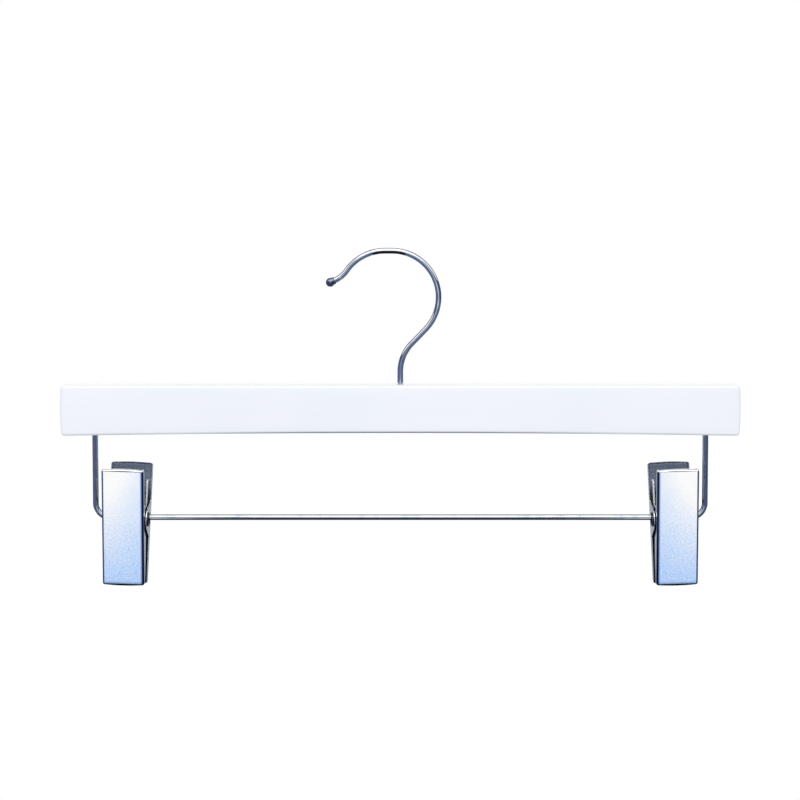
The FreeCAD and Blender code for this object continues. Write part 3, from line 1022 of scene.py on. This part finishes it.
def wind_spring():
    """Spring round the X axis: back leg at -X, coil, front leg at +X."""
    out_back = Vector((0, math.cos(jaw_lean), -math.sin(jaw_lean)))
    up_back = Vector((0, math.sin(jaw_lean), math.cos(jaw_lean)))
    start = out_back * spring_tip_out + up_back * spring_leg - RIGHT * spring_reach
    tail = spring_tip_out - spring_coil_r - spring_end_bend
    coil_turn = (2 * spring_turns + 1) * math.pi - 2 * jaw_lean
    steady_turn = coil_turn - 2 * spring_ease
    ease_turn = spring_ease / spring_ease_steps
    shares = [(step + 0.5) / spring_ease_steps for step in range(spring_ease_steps)]
    pace = 2 * spring_reach / (coil_turn - spring_ease)
    spring = WireBender(spring_wire_r, start, -out_back, RIGHT, spring_sides, spring_bend_step)
    spring.feed(tail)
    spring.bend(spring_end_bend, math.pi / 2, -up_back)
    spring.feed(spring_leg - spring_end_bend, leg_pieces)
    for share in shares:
        spring.bend(spring_coil_r, ease_turn, inward(spring), -pace * share * ease_turn)
    spring.bend(spring_coil_r, steady_turn, inward(spring), -pace * steady_turn)
    for share in reversed(shares):
        spring.bend(spring_coil_r, ease_turn, inward(spring), -pace * share * ease_turn)
    spring.feed(spring_leg - spring_end_bend, leg_pieces)
    spring.bend(spring_end_bend, math.pi / 2, -inward(spring))
    spring.feed(tail)
    return spring.cut()


def inward(spring):
    """Direction from the wire to the coil's axis."""
    off_axis = spring.place - RIGHT * spring.place.x
    ahead = spring.heading - RIGHT * spring.heading.x
    return -(off_axis - ahead * off_axis.dot(ahead) / ahead.length_squared).normalized()


print("spring of %d turns, %.1f mm wide" % (spring_turns, 2 * spring_reach / MM))

# %% [markdown]
# ## The springs in their clips
# When a clip opens, one leg of its spring goes with the back jaw and one with the front jaw, and the
# coil twists between them. The left clip is a mirror image of the right one, and both are set on the
# axis that they swing about.

# %% The springs
def on_clip(side):
    """Matrix that sets a piece made round the X axis on one clip's pivot."""
    joint = joints[side + "_clip_swing"]
    axis = Vector(joint["axis"]).normalized()
    up = axis.cross(BACK)
    flip = Matrix.Diagonal((-1 if side == "left" else 1, 1, 1, 1))
    turn = Matrix((axis, BACK, up)).transposed().to_4x4()
    return Matrix.Translation(joint["pos_m"]) @ turn @ flip


for side in SIDES:
    bm = wind_spring()
    matrix = on_clip(side)
    bmesh.ops.transform(bm, matrix=matrix, verts=bm.verts)
    piece = new_piece(bm, side + "_spring_wire", spring_zinc)
    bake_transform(piece)
    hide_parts(side + "_spring")
    print(side, "spring's low corner", [round(c / MM, 2) for c in piece.bound_box[0]])

# %% [markdown]
# ## Copies of the solids
# The jaws and the grips are copies of their solids, which already have every bend and tooth. A solid
# comes in as loose triangles. They are merged at their corners and joined into whole faces, so that
# only real edges are left to be rounded.

# %% A merged copy
flat_limit = math.radians(1)


def merged_copy(node):
    """Mesh of a solid with its loose triangles joined into whole faces."""
    bm = bmesh.new()
    bm.from_mesh(nodes[node].data)
    bmesh.ops.remove_doubles(bm, verts=bm.verts, dist=merge_gap)
    bmesh.ops.dissolve_limit(bm, angle_limit=flat_limit, verts=bm.verts, edges=bm.edges)
    return bm


print("faces within %.0f degree are joined" % math.degrees(flat_limit))

# %% [markdown]
# ## Places in a tray
# The finish of a jaw goes by place, so each point notes where it lies in its own tray, and whether it
# is on the hollow side of the sheet. A jaw's own frame is that of its clip, shifted along the rod and
# leaned as its plate is. The front jaw's frame faces forwards and the back jaw's backwards.

# %% Tray and inside
jaw_half_w = {"front": 10.95 * MM, "back": 11.05 * MM}
jaw_shift = {"front": 0.43 * MM, "back": -0.33 * MM}
jaw_top = {"front": 29.9 * MM, "back": 30.25 * MM}
jaw_low = -34.1 * MM
plate_offset = 9.2 * MM
end_crown = 0.5 * MM
hollow_margin = 0.45 * MM


def in_jaw(side, jaw):
    """Matrix from a jaw's own frame, across, outwards and up along its plate, to the hanger's."""
    turn = 1 if jaw == "back" else -1
    out = Vector((0, turn * math.cos(jaw_lean), -math.sin(jaw_lean)))
    up = Vector((0, turn * math.sin(jaw_lean), math.cos(jaw_lean)))
    own = Matrix((RIGHT, out, up)).transposed().to_4x4()
    return on_clip(side) @ Matrix.Translation(RIGHT * jaw_shift[jaw]) @ own


def note_tray(bm, side, jaw):
    """Writes the tray and inside attributes of one jaw."""
    tray = bm.verts.layers.float_vector.new("tray")
    inside = bm.verts.layers.float.new("inside")
    to_jaw = in_jaw(side, jaw).inverted()
    for vert in bm.verts:
        across, out, height = to_jaw @ vert.co
        depth = plate_offset - out
        crown = end_crown * (across / jaw_half_w[jaw]) ** 2
        side_room = jaw_half_w[jaw] - abs(across)
        room = min(depth, side_room, jaw_top[jaw] - crown - height, height - jaw_low - crown)
        vert[tray] = Vector((across, depth, height)) / MM
        vert[inside] = 1.0 if room > hollow_margin else 0.0


print("jaws are %.1f and %.1f mm wide" % tuple(2 * half / MM for half in jaw_half_w.values()))

# %% [markdown]
# ## The pressed jaws
# A jaw is one blank of sheet: the plate, two side flanges with ears, and a lip turned in at each end.
# Its cut edges are broken, as tumbling leaves them. The plates are flat but their bends are round:
# normals weighted by area keep them so.

# %% The jaws
cut_edge_round = 0.1 * MM

for side in SIDES:
    for jaw in ("front", "back"):
        node = "%s_%s_jaw" % (side, jaw)
        bm = merged_copy(node)
        bmesh.ops.bevel(bm, geom=sharp_edges(bm), offset=cut_edge_round, segments=2, profile=0.5,
                        affect="EDGES", material=-1, clamp_overlap=False)
        note_tray(bm, side, jaw)
        piece = new_piece(bm, node + "_plate", clip_plate)
        flatten = piece.modifiers.new("flat_faces", "WEIGHTED_NORMAL")
        flatten.keep_sharp = True
        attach(piece, node)
        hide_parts(node)

# %% [markdown]
# ## The rubber grips
# The pads are moulded, so no edge of a tooth is sharp: every edge of the copy is rounded.

# %% The grips
tooth_round = 0.22 * MM

for side in SIDES:
    for jaw in ("front", "back"):
        node = "%s_%s_grip" % (side, jaw)
        bm = merged_copy(node)
        bmesh.ops.bevel(bm, geom=bm.edges[:], offset=tooth_round, segments=3, profile=0.5, affect="EDGES",
                        material=-1)
        piece = new_piece(bm, node + "_pad", grip_rubber)
        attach(piece, "%s_%s_jaw" % (side, jaw))
        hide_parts(node)

# %% [markdown]
